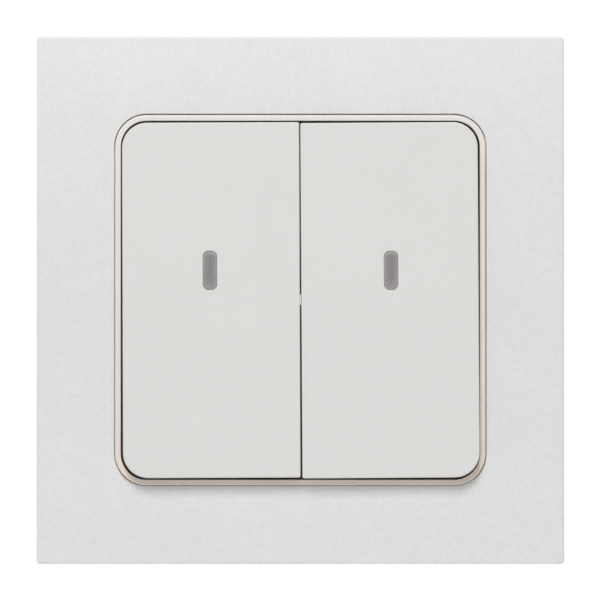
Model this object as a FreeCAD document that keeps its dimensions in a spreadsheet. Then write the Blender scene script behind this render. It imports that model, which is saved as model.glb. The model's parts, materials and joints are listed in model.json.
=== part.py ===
import FreeCAD, Part
import math
import os
import Sketcher

# Wireless wall switch with two rockers.
# X points right, Z points up, and the front faces -Y. The wall is the plane Y = 0, so a point's
# depth is its height above the wall, and its Y is minus that. The origin is the centre of the
# wall plate's back, amid the four screw holes. All sizes are millimetres and degrees.

SIZES = [
    ("frame_border", 11.95, "cover frame beside the ring, ring to outside"),
    ("frame_wall", 2.2, "side wall of the cover frame"),
    ("frame_skin", 2.0, "front wall of the cover frame"),
    ("frame_corner", 0.6, "corner radius of the frame's outline"),
    ("frame_edge", 0.35, "round along the frame's front edge"),
    ("frame_foot", 0.2, "gap between the frame's rear edge and the wall"),
    ("window_gap", 0.2, "gap between the ring and the frame's window"),
    ("collar_wall", 1.6, "wall of the collar behind the window"),
    ("collar_depth", 5.0, "collar's rear edge behind the frame's front"),
    ("rib_wall", 1.0, "ribs between collar and side wall"),
    ("rib_height", 1.5, "height of those ribs"),
    ("rib_pitch", 13.0, "distance between two of those ribs"),
    ("hook_place", 22.0, "snap hooks of the frame, from the middle of a side"),
    ("hook_width", 6.0, "width of a snap hook or arm"),
    ("hook_wall", 1.2, "thickness of a snap hook or arm"),
    ("hook_nose", 0.6, "reach of a snap nose"),
    ("hook_gap", 0.15, "gap beside a snap hook or arm"),
    ("ring_width", 56.1, "module's ring, outside width and height"),
    ("window_lift", 0.08, "frame's window above the ring's middle, as the module hangs down in it"),
    ("ring_corner", 4.75, "corner radius of the ring's outline"),
    ("ring_wall", 0.85, "wall of the module"),
    ("ring_round", 0.25, "round along the ring's outer front edge"),
    ("ring_edge", 0.12, "round along the ring's inner front edge"),
    ("ring_rise", 0.6, "ring's front above the frame's front"),
    ("rocker_rise", 1.5, "rockers' front above the ring's front"),
    ("rocker_gap", 0.25, "gap beside the rockers and between them"),
    ("end_gap", 0.33, "gap above and below the rockers"),
    ("rocker_corner", 3.8, "corner radius of the rockers at the ring"),
    ("rocker_edge", 0.22, "round along a rocker's front edge"),
    ("seam_corner", 0.3, "corner radius of the rockers at the seam"),
    ("cap_wall", 1.5, "front wall of a rocker"),
    ("skirt_wall", 1.1, "side wall of a rocker"),
    ("skirt_height", 5.2, "rocker's front to its rear edge"),
    ("pivot_drop", 3.0, "hinge axis behind the rocker's front"),
    ("left_turn", 0.22, "left rocker's crooked seat, anticlockwise from the front"),
    ("right_turn", 0.36, "right rocker's crooked seat, anticlockwise from the front"),
    ("left_shift", 0.07, "left rocker's seat, to the right"),
    ("right_shift", 0.03, "right rocker's seat, to the right"),
    ("nub_height", 1.6, "spacer nub in the seam"),
    ("nub_reach", 0.15, "reach of the spacer nub"),
    ("nub_drop", 0.15, "nub behind the rocker's front"),
    ("pin_diameter", 1.5, "hinge pin at its two ends"),
    ("pin_middle", 2.2, "hinge pin between the posts"),
    ("bearing_gap", 0.05, "radial clearance of the pin in a post"),
    ("snap_gap", 0.1, "radial clearance of a lug on the pin"),
    ("mouth_width", 1.24, "snap-in mouth of a lug or post"),
    ("post_step", 2.5, "bearing post to the snap lug beside it"),
    ("post_wall", 2.2, "thickness of a bearing post"),
    ("post_foot", 5.2, "height of a bearing post's foot along Z"),
    ("post_head", 3.4, "height of a bearing post's head along Z"),
    ("post_cheek", 0.15, "wall of a post in front of the pin"),
    ("lug_inset", 4.5, "snap lug inside the rocker's side"),
    ("lug_wall", 1.6, "thickness of a snap lug"),
    ("lug_height", 3.3, "height of a snap lug along Z"),
    ("lug_reach", 0.2, "lug behind the pin's rear"),
    ("pin_spare", 0.2, "pin's end beyond the lug"),
    ("stiffener_wall", 0.8, "ribs inside a rocker"),
    ("stiffener_height", 0.9, "height of the ribs inside a rocker"),
    ("stiffener_place", 17.0, "cross ribs inside a rocker, from its middle"),
    ("lens_width", 2.1, "light window"),
    ("lens_height", 5.85, "light window"),
    ("lens_corner", 0.85, "light window's corner radius"),
    ("lens_clear", 0.675, "light guide's flange to the push rib above it"),
    ("lens_shift", 0.18, "light window beside the rocker's middle, away from the seam"),
    ("lens_inset", 0.04, "light window behind the rocker's front"),
    ("lens_bevel", 0.15, "bevel along the light window's front edge"),
    ("lens_gap", 0.04, "gap round the light window"),
    ("flange_lap", 0.55, "light guide's flange beyond the window"),
    ("flange_wall", 0.35, "light guide's flange"),
    ("stem_width", 1.7, "light guide's stem"),
    ("stem_height", 2.4, "light guide's stem"),
    ("stem_gap", 1.2, "light guide's end in front of the deck"),
    ("arm_length", 9.5, "push switch above or below the hinge axis"),
    ("switch_width", 6.0, "push switch, width and height"),
    ("switch_case", 3.5, "push switch's case in front of the board"),
    ("switch_cover", 0.3, "steel cover of a push switch"),
    ("cover_lip", 0.25, "steel cover inside the edge of the base"),
    ("plunger_rise", 0.8, "plunger's top in front of the case"),
    ("plunger_diameter", 3.5, "plunger"),
    ("plunger_flange", 4.4, "plunger's flange inside the case"),
    ("plunger_wall", 0.5, "thickness of the plunger's flange"),
    ("plunger_gap", 0.1, "gap round the plunger"),
    ("plunger_travel", 0.33, "stroke of the plunger, each way from rest"),
    ("push_gap", 0.06, "gap between a push rib and its plunger"),
    ("push_width", 3.2, "push rib along the hinge axis"),
    ("push_wall", 1.7, "push rib's thickness"),
    ("push_height", 2.1, "rocker's inner face to the plunger's top"),
    ("leg_width", 0.7, "soldered leg of a push switch"),
    ("leg_wall", 0.3, "soldered leg of a push switch"),
    ("leg_pitch", 4.5, "distance between two legs"),
    ("leg_foot", 1.1, "length of a leg's foot"),
    ("deck_wall", 1.0, "deck of the module"),
    ("deck_gap", 0.4, "deck in front of the board"),
    ("hole_gap", 0.3, "gap round a switch in its deck window"),
    ("light_hole", 3.6, "deck hole over the light source"),
    ("boss_inset", 4.5, "screw bosses inside the board's edge"),
    ("boss_diameter", 4.4, "screw boss"),
    ("pad_width", 3.0, "seat of the board on the deck"),
    ("pad_inset", 3.0, "seats of the board inside its edge"),
    ("pad_spread", 9.25, "seats of the board above or below the middle"),
    ("arm_place", 12.0, "module's snap arms, from the middle of a side"),
    ("arm_height", 4.6, "snap arm above the wall plate"),
    ("catch_height", 2.1, "snap arm's catch face above the wall plate"),
    ("catch_gap", 0.1, "gap between a snap nose and its catch"),
    ("relief_width", 9.0, "room for a screw head in the module's wall"),
    ("relief_height", 3.2, "room for a screw head above the wall plate"),
    ("plate_wall", 1.6, "wall plate"),
    ("plate_gap", 1.8, "gap between wall plate and frame wall"),
    ("plate_corner", 3.0, "corner radius of the wall plate"),
    ("plate_lip", 0.7, "plate's edge under a frame hook"),
    ("opening_lap", 3.0, "wall plate behind the rear cover's edge"),
    ("opening_corner", 5.0, "corner radius of that opening"),
    ("rim_height", 0.6, "rim behind the ribs of the wall plate"),
    ("screw_inset", 1.95, "wall screws' circle outside the ring"),
    ("screw_hole", 4.2, "hole for a wall screw"),
    ("cover_gap", 0.1, "rear cover in front of the wall plate"),
    ("cover_inset", 1.3, "gap between rear cover and ring wall"),
    ("cover_wall", 1.2, "rear cover"),
    ("cover_corner", 3.0, "corner radius of the rear cover"),
    ("well_gap", 0.3, "gap round the cell"),
    ("well_wall", 1.0, "wall round the cell"),
    ("well_height", 3.2, "that wall in front of the cover's back"),
    ("well_lip", 0.4, "lips behind the cell"),
    ("lip_reach", 0.7, "reach of those lips over the cell"),
    ("lip_width", 4.0, "width of those lips"),
    ("notch_width", 8.0, "finger notch beside the cell"),
    ("support_diameter", 2.6, "posts between rear cover and board"),
    ("support_inset", 4.0, "those posts inside the board's edge"),
    ("cell_diameter", 20.0, "coin cell"),
    ("cell_wall", 3.2, "coin cell"),
    ("cell_round", 0.5, "round along the coin cell's edge"),
    ("cell_lid", 17.6, "coin cell's lid"),
    ("cell_step", 0.3, "coin cell's lid in front of its can"),
    ("cell_gap", 0.05, "gap between a lip and the cell"),
    ("contact_room", 0.55, "cell to circuit board"),
    ("contact_wall", 0.2, "spring strip of the contacts"),
    ("contact_width", 3.0, "spring strip of the contacts"),
    ("contact_length", 6.0, "finger of the face contact"),
    ("contact_foot", 3.0, "soldered foot of a contact"),
    ("board_inset", 2.8, "gap between circuit board and ring wall"),
    ("board_wall", 1.2, "circuit board"),
    ("board_corner", 1.5, "corner radius of the circuit board"),
    ("board_gap", 0.2, "gap round a boss in the board"),
    ("bolt_shank", 2.0, "cover screw's shank"),
    ("bolt_head", 3.8, "cover screw's head"),
    ("bolt_head_wall", 0.75, "cover screw's head"),
    ("bolt_length", 4.6, "cover screw under its head"),
    ("bolt_gap", 0.05, "radial gap round a screw"),
    ("bolt_slot", 0.45, "depth of the screw's cross recess"),
    ("bolt_slot_width", 0.6, "cross recess"),
    ("led_width", 1.6, "light source, long side"),
    ("led_height", 0.8, "light source, short side"),
    ("led_wall", 0.35, "light source's base"),
    ("led_dome", 0.3, "light source's clear part"),
    ("radio_width", 5.0, "radio chip"),
    ("radio_wall", 0.9, "radio chip"),
    ("control_width", 7.0, "control chip"),
    ("control_wall", 1.0, "control chip"),
    ("chip_bevel", 0.15, "bevel round a chip"),
    ("radio_inset", 5.5, "radio chip inside the screw bosses"),
    ("control_place", 9.0, "control chip above the middle"),
    ("crystal_length", 3.2, "crystal"),
    ("crystal_height", 2.5, "crystal"),
    ("crystal_wall", 0.8, "crystal"),
    ("crystal_inset", 1.0, "crystal inside the screw bosses"),
    ("crystal_place", 7.0, "crystal above the middle"),
    ("small_length", 1.6, "capacitor or resistor"),
    ("small_height", 0.8, "capacitor or resistor"),
    ("capacitor_wall", 0.8, "capacitor"),
    ("resistor_wall", 0.45, "resistor"),
    ("small_pitch", 1.8, "distance between two small parts"),
    ("wire_diameter", 0.8, "aerial wire"),
    ("wire_bend", 1.6, "bend of the aerial wire"),
    ("wire_inset", 1.2, "aerial wire inside the board's edge"),
    ("wire_lift", 0.9, "aerial wire's middle behind the board"),
]

doc = FreeCAD.newDocument("wall_switch")
sheet = doc.addObject("Spreadsheet::Sheet", "Size")
for row, (alias, number, note) in enumerate(SIZES, start=1):
    sheet.set(f"A{row}", alias)
    sheet.set(f"B{row}", str(number))
    sheet.set(f"C{row}", note)
    sheet.setAlias(f"B{row}", alias)
doc.recompute()

# Depths above the wall, from the wall to the front.
PLATE_FRONT = "Size.plate_wall"
COVER_REAR = f"{PLATE_FRONT} + Size.cover_gap"
COVER_FRONT = f"{COVER_REAR} + Size.cover_wall"
CELL_REAR = f"{COVER_REAR} + Size.well_lip + Size.cell_gap"
CELL_FRONT = f"{CELL_REAR} + Size.cell_wall"
BOARD_REAR = f"{CELL_FRONT} + Size.contact_room"
BOARD_FRONT = f"{BOARD_REAR} + Size.board_wall"
DECK_REAR = f"{BOARD_FRONT} + Size.deck_gap"
DECK_FRONT = f"{DECK_REAR} + Size.deck_wall"
CASE_FRONT = f"{BOARD_FRONT} + Size.switch_case"
PLUNGER_TOP = f"{CASE_FRONT} + Size.plunger_rise"
CAP_INSIDE = f"{PLUNGER_TOP} + Size.push_height"
ROCKER_FRONT = f"{CAP_INSIDE} + Size.cap_wall"
RING_FRONT = f"{ROCKER_FRONT} - Size.rocker_rise"
FRAME_FRONT = f"{RING_FRONT} - Size.ring_rise"
SKIN_INSIDE = f"{FRAME_FRONT} - Size.frame_skin"
PIVOT_DEPTH = f"{ROCKER_FRONT} - Size.pivot_drop"

# Distances from the middle of the switch.
RING_HALF = "Size.ring_width / 2"
FRAME_HALF = f"{RING_HALF} + Size.frame_border"
FRAME_INSIDE = f"{FRAME_HALF} - Size.frame_wall"
RING_INSIDE = f"{RING_HALF} - Size.ring_wall"
INSIDE_CORNER = "Size.ring_corner - Size.ring_wall"
WINDOW_HALF = f"{RING_HALF} + Size.window_gap"
COLLAR_HALF = f"{WINDOW_HALF} + Size.collar_wall"
PLATE_HALF = f"{FRAME_INSIDE} - Size.plate_gap"
SCREW_PLACE = f"{RING_HALF} + Size.screw_inset"
COVER_HALF = f"{RING_INSIDE} - Size.cover_inset"
OPENING_HALF = f"{COVER_HALF} - Size.opening_lap"
BOARD_HALF = f"{RING_INSIDE} - Size.board_inset"
BOSS_PLACE = f"{BOARD_HALF} - Size.boss_inset"
SUPPORT_PLACE = f"{BOARD_HALF} - Size.support_inset"
SEAT_PLACE = f"{BOARD_HALF} - Size.pad_inset"
CELL_RADIUS = "Size.cell_diameter / 2"
WELL_RADIUS = f"{CELL_RADIUS} + Size.well_gap"
WELL_OUTSIDE = f"{WELL_RADIUS} + Size.well_wall"
PIN_RADIUS = "Size.pin_diameter / 2"
ROCKER_HALF_HEIGHT = f"{RING_INSIDE} - Size.end_gap"
ROCKER_HALF_WIDTH = f"({RING_INSIDE} - 1.5 * Size.rocker_gap) / 2"
ROCKER_PLACE = f"{ROCKER_HALF_WIDTH} + Size.rocker_gap / 2"
CAP_FACE = "-Size.pivot_drop"
CAP_UNDERSIDE = "Size.cap_wall - Size.pivot_drop"
LUG_PLACE = f"{ROCKER_HALF_WIDTH} - Size.lug_inset"
POST_PLACE = f"{LUG_PLACE} - Size.post_step"
PIN_HALF = f"{LUG_PLACE} + Size.lug_wall / 2 + Size.pin_spare"
PUSH_TIP = f"{CAP_UNDERSIDE} + Size.push_height - Size.push_gap"
FLANGE_TOP = "Size.arm_length - Size.push_wall / 2 - Size.lens_clear"
LENS_PLACE = f"{FLANGE_TOP} - Size.flange_lap - Size.lens_height / 2"
LIGHT_PLACE = f"{LENS_PLACE} - Size.light_hole / 4"
DECK_FROM_PIVOT = f"{PIVOT_DEPTH} - ({DECK_FRONT})"

LEFT = -1
RIGHT = 1
LOWER = -1
UPPER = 1
SIDE_NAMES = {LEFT: "left", RIGHT: "right"}
HALF_NAMES = {LOWER: "lower", UPPER: "upper"}
CORNERS = [(LEFT, LOWER), (RIGHT, LOWER), (RIGHT, UPPER), (LEFT, UPPER)]
PLACE_OF_SIDE = {LEFT: f"-({ROCKER_PLACE})", RIGHT: ROCKER_PLACE}
LENS_SHIFT = {LEFT: "-Size.lens_shift", RIGHT: "Size.lens_shift"}
X_AXIS = FreeCAD.Vector(1, 0, 0)
Y_AXIS = FreeCAD.Vector(0, 1, 0)
Z_AXIS = FreeCAD.Vector(0, 0, 1)
nodes = []


def value(expression):
    """What an expression of the sheet comes to, as a plain number."""
    return float(sheet.evalExpression(str(expression)))


def minus(expression):
    return f"-({expression})"


def times(sign, expression):
    return f"{sign} * ({expression})"


# Bodies, sketches and the features made from them


def new_body(name):
    body = doc.addObject("PartDesign::Body", name)
    body.Label = name
    nodes.append(body)
    return body


def origin_feature(body, role):
    return next(item for item in body.Origin.OriginFeatures if item.Role == role)


def new_sketch(body, name, plane="XZ_Plane", offset="0"):
    """A sketch parallel to an origin plane. The normal of XZ_Plane is -Y, so there the offset is a depth."""
    sketch = body.newObject("Sketcher::SketchObject", name)
    sketch.AttachmentSupport = [(origin_feature(body, plane), "")]
    sketch.MapMode = "FlatFace"
    sketch.setExpression(".AttachmentOffset.Base.z", offset)
    return sketch


def bind(sketch, constraint, expression):
    index = sketch.addConstraint(constraint)
    sketch.setExpression(f"Constraints[{index}]", expression)


def bind_point(sketch, geometry, position, x, y):
    for kind, expression in (("DistanceX", x), ("DistanceY", y)):
        start = (kind, -1, 1, geometry, position, value(expression))
        bind(sketch, Sketcher.Constraint(*start), expression)


def draw_circle(sketch, x, y, radius):
    centre = FreeCAD.Vector(value(x), value(y), 0)
    index = sketch.addGeometry(Part.Circle(centre, Z_AXIS, value(radius)), False)
    bind_point(sketch, index, 3, x, y)
    bind(sketch, Sketcher.Constraint("Radius", index, value(radius)), radius)


def draw_polygon(sketch, points):
    """A closed outline of straight lines through the points, each a pair of expressions."""
    corners = [FreeCAD.Vector(value(x), value(y), 0) for x, y in points]
    lines = []
    for index, corner in enumerate(corners):
        after = corners[(index + 1) % len(corners)]
        lines.append(sketch.addGeometry(Part.LineSegment(corner, after), False))
    for index, line in enumerate(lines):
        after = lines[(index + 1) % len(lines)]
        sketch.addConstraint(Sketcher.Constraint("Coincident", line, 2, after, 1))
        bind_point(sketch, line, 1, *points[index])


def draw_rectangle(sketch, left, right, bottom, top, radii=("0", "0", "0", "0")):
    """A rectangle whose corners, from the lower left one anticlockwise, have these radii."""
    x0, x1, y0, y1 = (value(side) for side in (left, right, bottom, top))
    sizes = [value(radius) for radius in radii]
    corners = [(x0, y0), (x1, y0), (x1, y1), (x0, y1)]
    along = [(1, 0), (0, 1), (-1, 0), (0, -1)]
    lines = []
    for index, (dx, dy) in enumerate(along):
        (ax, ay), (bx, by) = corners[index], corners[(index + 1) % 4]
        near, far = sizes[index], sizes[(index + 1) % 4]
        start = FreeCAD.Vector(ax + dx * near, ay + dy * near, 0)
        end = FreeCAD.Vector(bx - dx * far, by - dy * far, 0)
        lines.append(sketch.addGeometry(Part.LineSegment(start, end), False))
        kind = "Horizontal" if dx else "Vertical"
        sketch.addConstraint(Sketcher.Constraint(kind, lines[-1]))
    for index, (cx, cy) in enumerate(corners):
        before, after, radius = lines[index - 1], lines[index], sizes[index]
        if radius == 0:
            sketch.addConstraint(Sketcher.Constraint("Coincident", before, 2, after, 1))
            continue
        inward = (along[index][0] - along[index - 1][0], along[index][1] - along[index - 1][1])
        centre = FreeCAD.Vector(cx + inward[0] * radius, cy + inward[1] * radius, 0)
        start = math.pi * (1 + index / 2)
        circle = Part.Circle(centre, Z_AXIS, radius)
        arc = sketch.addGeometry(Part.ArcOfCircle(circle, start, start + math.pi / 2), False)
        sketch.addConstraint(Sketcher.Constraint("Tangent", before, 2, arc, 1))
        sketch.addConstraint(Sketcher.Constraint("Tangent", arc, 2, after, 1))
        bind(sketch, Sketcher.Constraint("Radius", arc, radius), radii[index])
    edges = (("DistanceY", 0, bottom), ("DistanceX", 1, right), ("DistanceY", 2, top), ("DistanceX", 3, left))
    for kind, index, side in edges:
        bind(sketch, Sketcher.Constraint(kind, -1, 1, lines[index], 1, value(side)), side)


def draw_square(sketch, half, radius, lift=None):
    low, high = (f"{lift} - ({half})", f"{lift} + {half}") if lift else (minus(half), half)
    draw_rectangle(sketch, minus(half), half, low, high, [radius] * 4)


def pad(body, sketch, length, reverse=False, middle=False):
    """Material from the sketch. Reversed, a pad of XZ_Plane grows towards the wall."""
    feature = body.newObject("PartDesign::Pad", sketch.Name + "_pad")
    feature.Profile = sketch
    feature.Reversed = reverse
    feature.Midplane = middle
    feature.setExpression("Length", length)
    return feature


def pocket(body, sketch, length, reverse=False, middle=False):
    """A cut from the sketch. A pocket of XZ_Plane goes towards the wall, reversed to the front."""
    feature = body.newObject("PartDesign::Pocket", sketch.Name + "_pocket")
    feature.Profile = sketch
    feature.Reversed = reverse
    feature.Midplane = middle
    feature.setExpression("Length", length)
    return feature


def square_layer(body, name, half, radius, rear, front, cut=False, lift=None):
    """A rounded square between two depths, added or cut, with its sketch at the front."""
    sketch = new_sketch(body, name, offset=front)
    draw_square(sketch, half, radius, lift)
    height = f"{front} - ({rear})"
    return pocket(body, sketch, height) if cut else pad(body, sketch, height, reverse=True)


def revolve(body, name, points):
    """A turned piece about its own Y axis: each point is a radius and a Y."""
    sketch = new_sketch(body, name, plane="XY_Plane")
    draw_polygon(sketch, points)
    feature = body.newObject("PartDesign::Revolution", name + "_turned")
    feature.Profile = sketch
    feature.ReferenceAxis = (sketch, ["V_Axis"])
    feature.Angle = 360
    return feature


def edges_at(shape, accept):
    """Names of the edges whose middle point is accepted."""
    names = []
    for index, edge in enumerate(shape.Edges, start=1):
        middle = edge.valueAt((edge.FirstParameter + edge.LastParameter) / 2)
        if accept(edge, middle):
            names.append(f"Edge{index}")
    return names


def round_edges(body, name, accept, radius):
    """A round of this radius along the accepted edges of the body as it is so far."""
    doc.recompute()
    base = body.Tip
    names = edges_at(base.Shape, accept)
    assert names, f"{body.Label} has no edge for {name}"
    feature = body.newObject("PartDesign::Fillet", name)
    feature.Base = (base, names)
    feature.setExpression("Radius", radius)
    return feature


def bevel_edges(body, name, accept, width):
    """A bevel of this width along the accepted edges of the body as it is so far."""
    doc.recompute()
    base = body.Tip
    names = edges_at(base.Shape, accept)
    assert names, f"{body.Label} has no edge for {name}"
    feature = body.newObject("PartDesign::Chamfer", name)
    feature.Base = (base, names)
    feature.setExpression("Size", width)
    return feature


def is_near(number, expression, tolerance=0.001):
    return abs(number - value(expression)) < tolerance


def in_front_plane(depth):
    """Accepts edges that lie in the plane at this depth."""

    def accept(edge, middle):
        ends = [vertex.Point.y for vertex in edge.Vertexes] + [middle.y]
        return all(is_near(-y, depth) for y in ends)

    return accept


def place(body, x, depth, z="0", turn=None):
    """Puts a body's own origin at x, depth and z, turned anticlockwise as seen from the front."""
    angle = value(turn) if turn else 0
    base = FreeCAD.Vector(value(x), -value(depth), value(z))
    body.Placement = FreeCAD.Placement(base, FreeCAD.Rotation(-Y_AXIS, angle))
    body.setExpression("Placement.Base.x", x)
    body.setExpression("Placement.Base.y", minus(depth))
    body.setExpression("Placement.Base.z", z)
    if turn:
        body.setExpression("Placement.Rotation.Angle", f"{turn} * 1 deg")


# Cover frame: a square shell with a collar round its window, ribs and four snap hooks


def make_cover_frame():
    body = new_body("cover_frame")
    square_layer(body, "outside", FRAME_HALF, "Size.frame_corner", "Size.frame_foot", FRAME_FRONT)
    front_plane = in_front_plane(FRAME_FRONT)
    round_edges(body, "front_edge", front_plane, "min(Size.frame_edge; Size.frame_wall / 2)")
    square_layer(body, "hollow", FRAME_INSIDE, "Size.frame_corner", "0", SKIN_INSIDE, cut=True)
    collar_rear = f"{FRAME_FRONT} - Size.collar_depth"
    collar_corner = "Size.ring_corner + Size.window_gap + Size.collar_wall"
    window_corner = "Size.ring_corner + Size.window_gap"
    lift = "Size.window_lift"
    square_layer(body, "collar", COLLAR_HALF, collar_corner, collar_rear, SKIN_INSIDE, lift=lift)

    ribs = new_sketch(body, "ribs", offset=SKIN_INSIDE)
    for step in (-1, 0, 1):
        low = f"{step} * Size.rib_pitch - Size.rib_wall / 2"
        high = f"{step} * Size.rib_pitch + Size.rib_wall / 2"
        inner = f"{COLLAR_HALF} - Size.collar_wall / 2"
        outer = f"{FRAME_INSIDE} + Size.frame_wall / 2"
        draw_rectangle(ribs, inner, outer, low, high)
        draw_rectangle(ribs, minus(outer), minus(inner), low, high)
        draw_rectangle(ribs, low, high, inner, outer)
        draw_rectangle(ribs, low, high, minus(outer), minus(inner))
    pad(body, ribs, "Size.rib_height", reverse=True)
    square_layer(body, "window", WINDOW_HALF, window_corner, "0", FRAME_FRONT, cut=True, lift=lift)

    inner = f"{PLATE_HALF} + Size.hook_gap"
    outer = f"{inner} + Size.hook_wall"
    tip = "2 * Size.frame_foot"
    catch = "Size.plate_wall - Size.plate_lip - Size.catch_gap"
    for side, half in CORNERS:
        offset = times(half, "Size.hook_place")
        hook = new_sketch(body, f"hook_{SIDE_NAMES[side]}_{HALF_NAMES[half]}", "XY_Plane", offset)
        nose = f"{inner} - Size.hook_nose"
        profile = [
            (outer, SKIN_INSIDE),
            (outer, tip),
            (inner, tip),
            (nose, f"{catch} - Size.catch_gap"),
            (nose, catch),
            (inner, catch),
            (inner, SKIN_INSIDE),
        ]
        draw_polygon(hook, [(times(side, x), minus(depth)) for x, depth in profile])
        pad(body, hook, "Size.hook_width", middle=True)


# Wall plate: screw holes, opening, edges for the frame's hooks and arms for the module


def make_mounting_plate():
    body = new_body("mounting_plate")
    square_layer(body, "plate", PLATE_HALF, "Size.plate_corner", "0", PLATE_FRONT)
    square_layer(body, "opening", OPENING_HALF, "Size.opening_corner", "0", PLATE_FRONT, cut=True)

    hole = new_sketch(body, "screw_hole", offset=PLATE_FRONT)
    draw_circle(hole, SCREW_PLACE, "0", "Size.screw_hole / 2")
    first_hole = pocket(body, hole, PLATE_FRONT)
    doc.recompute()
    circle_of_holes = body.newObject("PartDesign::PolarPattern", "screw_circle")
    circle_of_holes.Originals = [first_hole]
    circle_of_holes.Axis = (origin_feature(body, "Y_Axis"), [""])
    circle_of_holes.Angle = 360
    circle_of_holes.Occurrences = 4
    body.Tip = circle_of_holes

    reliefs = new_sketch(body, "hook_reliefs", offset="Size.plate_wall - Size.plate_lip")
    for side, half in CORNERS:
        inner = f"{PLATE_HALF} - Size.hook_nose - Size.hook_gap"
        near = "Size.hook_place - Size.hook_width / 2 - 2 * Size.hook_gap"
        far = "Size.hook_place + Size.hook_width / 2 + 2 * Size.hook_gap"
        xs = sorted((times(side, inner), times(side, PLATE_HALF)), key=value)
        zs = sorted((times(half, near), times(half, far)), key=value)
        draw_rectangle(reliefs, xs[0], xs[1], zs[0], zs[1])
    pocket(body, reliefs, "Size.plate_wall - Size.plate_lip")

    rim = new_sketch(body, "rim", offset=PLATE_FRONT)
    rim_inner = f"{RING_HALF} + Size.hook_gap + Size.hook_wall + 1"
    rim_outer = f"{rim_inner} + Size.rib_wall"
    draw_square(rim, rim_outer, "Size.ring_corner + Size.rib_wall")
    draw_square(rim, rim_inner, "Size.ring_corner")
    pad(body, rim, "Size.rim_height")
    for x, z in ((LEFT, 0), (RIGHT, 0), (0, LOWER), (0, UPPER)):
        room = new_sketch(body, f"head_room_{x + 1}_{z + 1}", offset=f"{PLATE_FRONT} + Size.rim_height")
        draw_circle(room, times(x, SCREW_PLACE), times(z, SCREW_PLACE), "Size.relief_width / 2")
        pocket(body, room, "Size.rim_height")

    inner = f"{RING_HALF} + Size.hook_gap"
    outer = f"{inner} + Size.hook_wall"
    nose = f"{RING_INSIDE} + Size.hook_gap"
    top = f"{PLATE_FRONT} + Size.arm_height"
    catch = f"{PLATE_FRONT} + Size.catch_height"
    for side, half in CORNERS:
        offset = times(half, "Size.arm_place")
        arm = new_sketch(body, f"arm_{SIDE_NAMES[side]}_{HALF_NAMES[half]}", "XY_Plane", offset)
        profile = [
            (outer, "Size.plate_wall / 2"),
            (outer, top),
            (inner, top),
            (nose, f"{catch} + 2 * Size.hook_gap"),
            (nose, catch),
            (inner, catch),
            (inner, "Size.plate_wall / 2"),
        ]
        draw_polygon(arm, [(times(side, x), minus(depth)) for x, depth in profile])
        pad(body, arm, "Size.hook_width", middle=True)


# Module housing: the ring, the deck with its windows, bearing posts, screw bosses and board seats


def make_bearing_post(body, side, end):
    """One post of a rocker's bearing, with a round seat and a snap-in mouth towards the front."""
    name = f"{SIDE_NAMES[side]}_{SIDE_NAMES[end]}"
    middle = f"{PLACE_OF_SIDE[side]} + {times(end, POST_PLACE)}"
    seat = f"{PIN_RADIUS} + Size.bearing_gap"
    foot = DECK_FRONT
    head = f"{PIVOT_DEPTH} + {PIN_RADIUS} + Size.post_cheek"
    post = new_sketch(body, f"post_{name}", "YZ_Plane", middle)
    profile = [
        (foot, "-Size.post_foot / 2"),
        (head, "-Size.post_head / 2"),
        (head, "Size.post_head / 2"),
        (foot, "Size.post_foot / 2"),
    ]
    draw_polygon(post, [(minus(depth), z) for depth, z in profile])
    pad(body, post, "Size.post_wall", middle=True)
    bore = new_sketch(body, f"seat_{name}", "YZ_Plane", middle)
    draw_circle(bore, minus(PIVOT_DEPTH), "0", seat)
    pocket(body, bore, "Size.post_wall * 1.2", middle=True)
    mouth = new_sketch(body, f"mouth_{name}", "YZ_Plane", middle)
    over = f"{head} + Size.post_cheek"
    mouth_half = "Size.mouth_width / 2"
    draw_rectangle(mouth, minus(over), minus(PIVOT_DEPTH), minus(mouth_half), mouth_half)
    pocket(body, mouth, "Size.post_wall * 1.2", middle=True)


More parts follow.
